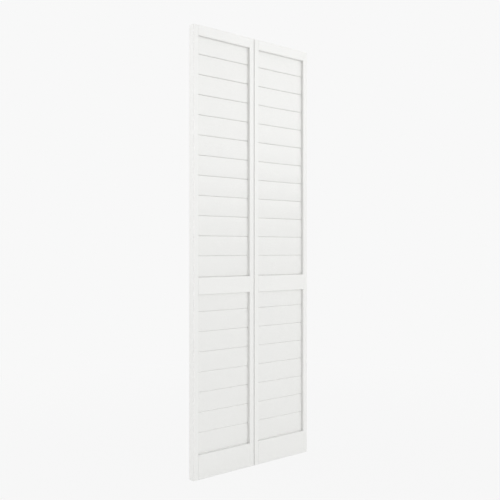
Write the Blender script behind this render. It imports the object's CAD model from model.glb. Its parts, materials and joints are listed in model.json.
# Louvered bifold door: the painted finish, the hinge steel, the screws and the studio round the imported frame
import json
import math

import bmesh
import bpy
from mathutils import Matrix, Vector

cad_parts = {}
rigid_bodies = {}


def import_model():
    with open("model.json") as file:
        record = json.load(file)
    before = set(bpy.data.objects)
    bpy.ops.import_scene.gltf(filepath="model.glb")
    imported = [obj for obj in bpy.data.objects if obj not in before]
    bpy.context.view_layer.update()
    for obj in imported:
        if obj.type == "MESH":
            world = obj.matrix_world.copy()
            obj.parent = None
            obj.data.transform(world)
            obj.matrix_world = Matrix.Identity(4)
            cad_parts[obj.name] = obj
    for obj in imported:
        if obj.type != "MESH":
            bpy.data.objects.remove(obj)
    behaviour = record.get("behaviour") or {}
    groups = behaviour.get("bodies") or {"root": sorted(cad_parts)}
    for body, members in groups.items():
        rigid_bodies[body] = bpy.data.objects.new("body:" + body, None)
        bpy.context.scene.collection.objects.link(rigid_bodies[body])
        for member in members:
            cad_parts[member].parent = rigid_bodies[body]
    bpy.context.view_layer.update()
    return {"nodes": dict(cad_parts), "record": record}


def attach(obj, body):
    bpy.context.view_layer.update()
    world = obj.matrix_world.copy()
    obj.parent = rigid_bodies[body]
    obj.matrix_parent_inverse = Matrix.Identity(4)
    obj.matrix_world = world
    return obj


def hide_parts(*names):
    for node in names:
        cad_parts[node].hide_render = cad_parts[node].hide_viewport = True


for leftover in list(bpy.data.objects):  # the cube, lamp and camera of a new Blender file
    bpy.data.objects.remove(leftover)

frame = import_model()
nodes = frame["nodes"]
scene = bpy.context.scene
print("frame loaded:", len(nodes), "nodes")


def addObject(name, data):
    thing = bpy.data.objects.new(name, data)
    scene.collection.objects.link(thing)
    return thing


# the camera stands in front of the door, well to its left, at half its height
cameraPlace = {
    "stand": (-2.128, -2.50175, 1.014),
    "turn": 40.28,  # degrees to the right of square on
    "lens": 50.0,
    "sensor": 36.0,
}


def addCamera(place):
    camera = bpy.data.cameras.new("photoCamera")
    camera.lens = place["lens"]
    camera.sensor_width = place["sensor"]
    stand = addObject("photoCamera", camera)
    stand.location = place["stand"]
    stand.rotation_euler = (math.radians(90), 0, -math.radians(place["turn"]))
    scene.camera = stand


addCamera(cameraPlace)
print("camera placed")


class Wire:
    # one output socket, so that sums of sockets and numbers can be written as Python expressions
    def __init__(self, sheet, socket):
        self.sheet = sheet
        self.socket = socket

    def __add__(self, other):
        return self.sheet.maths("ADD", self, other)

    def __radd__(self, other):
        return self.sheet.maths("ADD", other, self)

    def __sub__(self, other):
        return self.sheet.maths("SUBTRACT", self, other)

    def __rsub__(self, other):
        return self.sheet.maths("SUBTRACT", other, self)

    def __mul__(self, other):
        return self.sheet.maths("MULTIPLY", self, other)

    def __rmul__(self, other):
        return self.sheet.maths("MULTIPLY", other, self)


class Sheet:
    # the nodes of one material, of the world or of the smoothing modifier
    def __init__(self, tree):
        self.tree = tree
        self.tree.nodes.clear()

    def add(self, kind, settings=None, sockets=None, output=0):
        node = self.tree.nodes.new(kind)
        for key, value in (settings or {}).items():
            setattr(node, key, value)
        for key, value in (sockets or {}).items():
            if isinstance(value, Wire):
                self.tree.links.new(value.socket, node.inputs[key])
            else:
                node.inputs[key].default_value = value
        return Wire(self, node.outputs[output]) if len(node.outputs) else None

    def maths(self, operation, first, second):
        return self.add("ShaderNodeMath", {"operation": operation}, {0: first, 1: second})

    def blendColours(self, share, first, second):
        return self.add("ShaderNodeMix", {"data_type": "RGBA"}, {0: share, 6: first, 7: second}, 2)

    def noise(self, scale, detail=2.0, roughness=0.5):
        place = self.add("ShaderNodeTexCoord", output="Object")
        place = self.add("ShaderNodeMapping", sockets={"Vector": place, "Scale": scale})
        sockets = {"Vector": place, "Scale": 1.0, "Detail": detail, "Roughness": roughness}
        return self.add("ShaderNodeTexNoise", sockets=sockets, output="Fac")

    def bump(self, height):
        return self.add("ShaderNodeBump", sockets={"Strength": 1.0, "Distance": 1.0, "Height": height})


noiseMiddle = 0.5  # the level round which the noise texture swings


def newFinish(name):
    material = bpy.data.materials.new(name)
    material.use_nodes = True
    return material, Sheet(material.node_tree)


def opaque(colour):
    return (*colour, 1.0)


def evenScale(scale):
    return (scale,) * 3


def alongAxis(axis, along, across):
    # a noise's scale when its pattern runs along one axis
    return tuple(along if letter == axis else across for letter in "xyz")


# semi-gloss white paint: scales are in turns a metre, heights in metres
paintLook = {
    "colour": (0.870, 0.872, 0.859),
    "tinted": (0.860, 0.860, 0.842),  # where the coat lies thinner
    "thinByPatches": 0.6,
    "thinByStrokes": 0.4,
    "patchScale": 3.0,
    "patchDetail": 3.0,
    "stippleScale": 520.0,
    "stippleDetail": 1.0,
    "stippleHeight": 0.000007,
    "strokesAcross": 900.0,
    "strokesAlong": 9.0,
    "strokeHeight": 0.000014,
    "grainAcross": 260.0,
    "grainAlong": 3.0,
    "grainDetail": 4.0,
    "grainRaggedness": 0.6,
    "grainHeight": 0.000012,
    "roughness": 0.27,
    "roughnessSpread": 0.08,
    "refraction": 1.5,
}
# the louvres are a shade darker than their frames
louvrePaintLook = dict(paintLook, colour=(0.850, 0.852, 0.839), tinted=(0.840, 0.840, 0.822))

# bare wood where the pivots and the guide are drilled
boreLook = {
    "colour": (0.62, 0.44, 0.26),
    "rings": (0.42, 0.27, 0.14),
    "ringScale": 700.0,
    "ringDetail": 3.0,
    "roughness": 0.75,
    "margin": 0.0001,
}


def insideBores(sheet, look):
    # 1 inside the drilled holes, which all have one radius
    bores = [mount for mount in frame["record"]["mounts"] if mount["kind"] == "bore"]
    place = sheet.add("ShaderNodeTexCoord", output="Object")
    flat = sheet.add("ShaderNodeVectorMath", {"operation": "MULTIPLY"}, {0: place, 1: (1, 1, 0)})
    nearest = 1.0  # metres, farther off than any hole's wall
    for spot in sorted({tuple(bore["pos_m"][:2]) for bore in bores}):
        off = sheet.add("ShaderNodeVectorMath", {"operation": "DISTANCE"}, {0: flat, 1: (*spot, 0)}, "Value")
        nearest = sheet.maths("MINIMUM", off, nearest)
    return sheet.maths("LESS_THAN", nearest, bores[0]["dims"]["r_mm"] / 1000 + look["margin"])


def paintFinish(name, look, axis, bores=None):
    material, sheet = newFinish(name)
    strokes = sheet.noise(alongAxis(axis, look["strokesAlong"], look["strokesAcross"]))
    grainScale = alongAxis(axis, look["grainAlong"], look["grainAcross"])
    grain = sheet.noise(grainScale, look["grainDetail"], look["grainRaggedness"])
    stipple = sheet.noise(evenScale(look["stippleScale"]), look["stippleDetail"])
    patches = sheet.noise(evenScale(look["patchScale"]), look["patchDetail"])
    thin = patches * look["thinByPatches"] + strokes * look["thinByStrokes"]
    colour = sheet.blendColours(thin, opaque(look["colour"]), opaque(look["tinted"]))
    spread = look["roughnessSpread"]
    roughness = (stipple - noiseMiddle) * spread + (patches - noiseMiddle) * spread + look["roughness"]
    if bores:
        wood = insideBores(sheet, bores)
        rings = sheet.noise(evenScale(bores["ringScale"]), bores["ringDetail"])
        bare = sheet.blendColours(rings, opaque(bores["colour"]), opaque(bores["rings"]))
        colour = sheet.blendColours(wood, colour, bare)
        roughness = (1 - wood) * roughness + wood * bores["roughness"]
    relief = strokes * look["strokeHeight"] + grain * look["grainHeight"] + stipple * look["stippleHeight"]
    sockets = {"Base Color": colour, "Roughness": roughness, "Normal": sheet.bump(relief)}
    sockets["IOR"] = look["refraction"]
    paint = sheet.add("ShaderNodeBsdfPrincipled", sockets=sockets)
    sheet.add("ShaderNodeOutputMaterial", sockets={"Surface": paint})
    return material


# zinc-plated pressed steel
steelLook = {
    "colour": (0.62, 0.62, 0.61),
    "dull": (0.50, 0.50, 0.51),
    "cloudScale": 60.0,
    "cloudDetail": 4.0,
    "linesAcross": 2600.0,
    "linesAlong": 60.0,
    "lineDetail": 2.0,
    "lineRaggedness": 0.6,
    "lineHeight": 0.000006,
    "roughness": 0.30,
    "roughnessSpread": 0.16,
}


def steelFinish(name, look, axis):
    material, sheet = newFinish(name)
    lineScale = alongAxis(axis, look["linesAlong"], look["linesAcross"])
    lines = sheet.noise(lineScale, look["lineDetail"], look["lineRaggedness"])
    clouds = sheet.noise(evenScale(look["cloudScale"]), look["cloudDetail"])
    colour = sheet.blendColours(clouds, opaque(look["colour"]), opaque(look["dull"]))
    spread = look["roughnessSpread"]
    roughness = (lines - noiseMiddle) * spread + (clouds - noiseMiddle) * spread + look["roughness"]
    sockets = {"Base Color": colour, "Metallic": 1.0, "Roughness": roughness}
    sockets["Normal"] = sheet.bump(lines * look["lineHeight"])
    steel = sheet.add("ShaderNodeBsdfPrincipled", sockets=sockets)
    sheet.add("ShaderNodeOutputMaterial", sockets={"Surface": steel})
    return material


def dress(names, material):
    for name in names:
        nodes[name].data.materials.clear()
        nodes[name].data.materials.append(material)


def named(word):
    return [name for name in nodes if word in name]


dress(named("stile"), paintFinish("stilePaint", paintLook, "z", boreLook))
dress(named("rail"), paintFinish("railPaint", paintLook, "x"))
dress(named("louvre"), paintFinish("louvrePaint", louvrePaintLook, "x"))
dress(named("hinge"), steelFinish("hingeSteel", steelLook, "z"))
screwSteel = steelFinish("screwSteel", steelLook, "x")
dress(named("screws"), screwSteel)
print("finishes done")

# countersunk screws with a cross recess and a thread, each as large as the plain one whose place it takes
screwLook = {
    "sides": 24,
    "headDepth": 0.0014,
    "shankRadius": 0.0015,
    "coreRadius": 0.0011,
    "threadFrom": 0.0042,
    "threadPitch": 0.0011,
    "threadSteepness": 3.0,  # the ridge rises and falls within two thirds of the pitch
    "ringsInPitch": 6,
    "tipLength": 0.003,
    "tipRadius": 0.0001,
    "recessReach": 0.0017,  # from the middle to the end of an arm
    "recessWidth": 0.0009,
    "recessDepth": 0.0011,
    "recessTaper": 0.4,  # size of the recess's floor beside its mouth
    "turnStep": 37.0,  # degrees from one screw's recess to the next one's
    "weld": 0.00001,
    "orderDigits": 4,  # of a metre, in which two screws' places are told apart
}


def solidBoxes(name, look):
    # the lowest and highest corners of each separate solid in a CAD node
    shape = bmesh.new()
    shape.from_mesh(nodes[name].data)
    bmesh.ops.remove_doubles(shape, verts=shape.verts, dist=look["weld"])
    seen = set()
    boxes = []
    for start in shape.verts:
        if start in seen:
            continue
        seen.add(start)
        solid = [start]
        for vert in solid:  # the list grows while it is walked
            for edge in vert.link_edges:
                other = edge.other_vert(vert)
                if other not in seen:
                    seen.add(other)
                    solid.append(other)
        low = Vector(min(vert.co[axis] for vert in solid) for axis in range(3))
        high = Vector(max(vert.co[axis] for vert in solid) for axis in range(3))
        boxes.append((low, high))
    shape.free()
    digits = look["orderDigits"]
    return sorted(boxes, key=lambda box: (round(box[0].z, digits), round(box[0].y, digits)))


def screwRadius(look, along, angle, headRadius, length):
    if along < look["headDepth"]:
        return headRadius + (look["shankRadius"] - headRadius) * along / look["headDepth"]
    if along < look["threadFrom"]:
        return look["shankRadius"]
    phase = (along / look["threadPitch"] - angle / math.tau) % 1
    ridge = max(0.0, 1 - look["threadSteepness"] * abs(phase - 0.5))
    taper = min(1.0, (length - along) / look["tipLength"])
    radius = look["coreRadius"] + (look["shankRadius"] - look["coreRadius"]) * ridge
    return max(look["tipRadius"], radius * taper)


def joinRings(shape, first, second):
    for step in range(len(first)):
        shape.faces.new((first[step - 1], first[step], second[step], second[step - 1]))


def crossOutline(reach, half):
    outline = []
    for quarter in range(4):
        turn = Matrix.Rotation(math.radians(90 * quarter), 2)
        outline += [turn @ Vector(corner) for corner in ((reach, -half), (reach, half), (half, half))]
    return outline


def addScrew(shape, look, place, headRadius, length):
    turns = (length - look["threadFrom"]) / look["threadPitch"]
    steps = round(turns * look["ringsInPitch"])
    stops = [0.0, look["headDepth"]]
    stops += [look["threadFrom"] + (length - look["threadFrom"]) * step / steps for step in range(steps + 1)]
    rings = []
    for along in stops:
        ring = []
        for step in range(look["sides"]):
            angle = math.tau * step / look["sides"]
            radius = screwRadius(look, along, angle, headRadius, length)
            spot = Vector((along, radius * math.cos(angle), radius * math.sin(angle)))
            ring.append(shape.verts.new(place @ spot))
        rings.append(ring)
    for first, second in zip(rings, rings[1:]):
        joinRings(shape, first, second)
    shape.faces.new(rings[-1])
    cross = crossOutline(look["recessReach"], look["recessWidth"] / 2)
    mouth = [shape.verts.new(place @ Vector((0, *corner))) for corner in cross]
    inner = [Vector((look["recessDepth"], *(corner * look["recessTaper"]))) for corner in cross]
    floor = [shape.verts.new(place @ spot) for spot in inner]
    joinRings(shape, mouth, floor)
    shape.faces.new(floor)
    rim = [edge for edge in shape.edges if edge.is_boundary and edge.verts[0] in rings[0] + mouth]
    bmesh.ops.triangle_fill(shape, edges=rim, use_beauty=True)


def addScrews(name, look, replaced, body):
    shape = bmesh.new()
    for count, (low, high) in enumerate(solidBoxes(replaced, look)):
        middle = (low + high) / 2
        inward = middle.x > 0  # driven towards +X
        head = (low.x if inward else high.x, middle.y, middle.z)
        place = Matrix.Translation(head) @ Matrix.Rotation(0 if inward else math.pi, 4, "Z")
        place = place @ Matrix.Rotation(math.radians(look["turnStep"] * count), 4, "X")
        addScrew(shape, look, place, (high.z - low.z) / 2, high.x - low.x)
    bmesh.ops.recalc_face_normals(shape, faces=shape.faces)
    mesh = bpy.data.meshes.new(name)
    shape.to_mesh(mesh)
    shape.free()
    screws = addObject(name, mesh)
    mesh.materials.append(screwSteel)
    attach(screws, body)
    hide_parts(replaced)
    return screws


screwSets = [addScrews("outerScrews", screwLook, "outer_plate_screws", "left_leaf"),
             addScrews("innerScrews", screwLook, "inner_plate_screws", "right_leaf")]
print("screws done:", sum(len(screws.data.polygons) for screws in screwSets), "faces")

# shading: facets of the eased edges and of the louvre faces run smooth, true corners stay sharp
shadingLook = {
    "weld": 0.00001,
    "sharpFrom": 50.0,  # degrees between two faces
}


def smoothingNodes(look):
    group = bpy.data.node_groups.new("softShading", "GeometryNodeTree")
    group.interface.new_socket("Geometry", in_out="INPUT", socket_type="NodeSocketGeometry")
    group.interface.new_socket("Geometry", in_out="OUTPUT", socket_type="NodeSocketGeometry")
    sheet = Sheet(group)
    start = sheet.add("NodeGroupInput")
    bare = sheet.add("GeometryNodeRemoveAttribute", sockets={"Geometry": start, "Name": "custom_normal"})
    whole = sheet.add("GeometryNodeMergeByDistance", sockets={"Geometry": bare, "Distance": look["weld"]})
    sockets = {"Geometry": whole, "Shade Smooth": True}
    smooth = sheet.add("GeometryNodeSetShadeSmooth", {"domain": "FACE"}, sockets)
    angle = sheet.add("GeometryNodeInputMeshEdgeAngle", output="Unsigned Angle")
    sharp = sheet.maths("GREATER_THAN", angle, math.radians(look["sharpFrom"]))
    sockets = {"Geometry": smooth, "Selection": sharp, "Shade Smooth": False}
    crisp = sheet.add("GeometryNodeSetShadeSmooth", {"domain": "EDGE"}, sockets)
    sheet.add("NodeGroupOutput", sockets={"Geometry": crisp})
    return group


def smoothShading(pieces, group):
    for piece in pieces:
        shading = piece.modifiers.new("softShading", "NODES")
        shading.node_group = group
        weighting = piece.modifiers.new("evenFaces", "WEIGHTED_NORMAL")
        weighting.keep_sharp = True


smoothShading(list(nodes.values()) + screwSets, smoothingNodes(shadingLook))
print("shading done")

# a white backdrop: the floor keeps a trace of its shading near the door and none far from it
studioLook = {
    "floorHalf": 40.0,
    "floorColour": (0.80, 0.80, 0.796),
    "floorRoughness": 0.9,
    "speckleColour": (1, 1, 1),
    "speckleScale": 900.0,
    "speckleShare": 0.02,
    "backdrop": (0.939, 0.939, 0.939),
    "lift": 0.95,  # share of the backdrop in the floor near the door
    "fadeFrom": 0.6,  # metres from the door
    "fadeTo": 3.0,
    "worldColour": (1, 1, 1),
    "worldLevel": 0.689,
}


def seenDirectly(sheet):
    # 1 for what the camera sees, straight or through metal and glass
    straight = sheet.add("ShaderNodeLightPath", output="Is Camera Ray")
    glossy = sheet.add("ShaderNodeLightPath", output="Is Glossy Ray")
    through = sheet.add("ShaderNodeLightPath", output="Is Transmission Ray")
    return sheet.maths("MINIMUM", straight + glossy + through, 1.0)


def floorFinish(look):
    material, sheet = newFinish("floorPaint")
    place = sheet.add("ShaderNodeTexCoord", output="Object")
    distance = sheet.add("ShaderNodeVectorMath", {"operation": "LENGTH"}, {0: place}, "Value")
    sockets = {"Value": distance, "From Min": look["fadeFrom"], "From Max": look["fadeTo"]}
    sockets["To Min"] = look["lift"]
    fade = sheet.add("ShaderNodeMapRange", {"interpolation_type": "SMOOTHSTEP"}, sockets)
    speckle = sheet.noise(evenScale(look["speckleScale"])) * look["speckleShare"]
    colour = sheet.blendColours(speckle, opaque(look["floorColour"]), opaque(look["speckleColour"]))
    sockets = {"Base Color": colour, "Roughness": look["floorRoughness"]}
    near = sheet.add("ShaderNodeBsdfPrincipled", sockets=sockets)
    beyond = sheet.add("ShaderNodeEmission", sockets={"Color": opaque(look["backdrop"]), "Strength": 1.0})
    both = sheet.add("ShaderNodeMixShader", sockets={0: fade * seenDirectly(sheet), 1: near, 2: beyond})
    sheet.add("ShaderNodeOutputMaterial", sockets={"Surface": both})
    return material


def addFloor(look):
    half = look["floorHalf"]
    mesh = bpy.data.meshes.new("floor")
    corners = [(-half, -half, 0), (half, -half, 0), (half, half, 0), (-half, half, 0)]
    mesh.from_pydata(corners, [], [(0, 1, 2, 3)])
    floor = addObject("floor", mesh)
    mesh.materials.append(floorFinish(look))


def addWorld(look):
    world = bpy.data.worlds.new("studio")
    world.use_nodes = True
    scene.world = world
    sheet = Sheet(world.node_tree)
    sockets = {"Color": opaque(look["worldColour"]), "Strength": look["worldLevel"]}
    lighting = sheet.add("ShaderNodeBackground", sockets=sockets)
    behind = sheet.add("ShaderNodeBackground", sockets={"Color": opaque(look["backdrop"]), "Strength": 1.0})
    both = sheet.add("ShaderNodeMixShader", sockets={0: seenDirectly(sheet), 1: lighting, 2: behind})
    sheet.add("ShaderNodeOutputWorld", sockets={"Surface": both})


# soft round lamps: sizes in metres, power in watts
lampLook = {
    "frontLamp": {"place": (1.0, -6.0, 1.2), "aim": (0, 0, 1.0), "size": 3.2, "power": 86.5},
    "rightLamp": {"place": (4.0, -5.0, 3.2), "aim": (0, 0, 1.0), "size": 3.2, "power": 39.5},
    "sideLamp": {"place": (-6.0, 2.8, 2.7), "aim": (0, 0, 1.0), "size": 7.5, "power": 163.0},
    "backLamp": {"place": (2.5, 6.0, 2.2), "aim": (0, 0, 1.0), "size": 5.0, "power": 60.0},
}


def addLamps(look):
    for name, lamp in look.items():
        light = bpy.data.lights.new(name, "AREA")
        light.shape = "DISK"
        light.size = lamp["size"]
        light.energy = lamp["power"]
        holder = addObject(name, light)
        holder.location = lamp["place"]
        line = Vector(lamp["aim"]) - Vector(lamp["place"])
        holder.rotation_euler = line.to_track_quat("-Z", "Y").to_euler()
        holder.visible_camera = False


addFloor(studioLook)
addWorld(studioLook)
addLamps(lampLook)
scene.view_settings.view_transform = "Standard"
print("studio done")
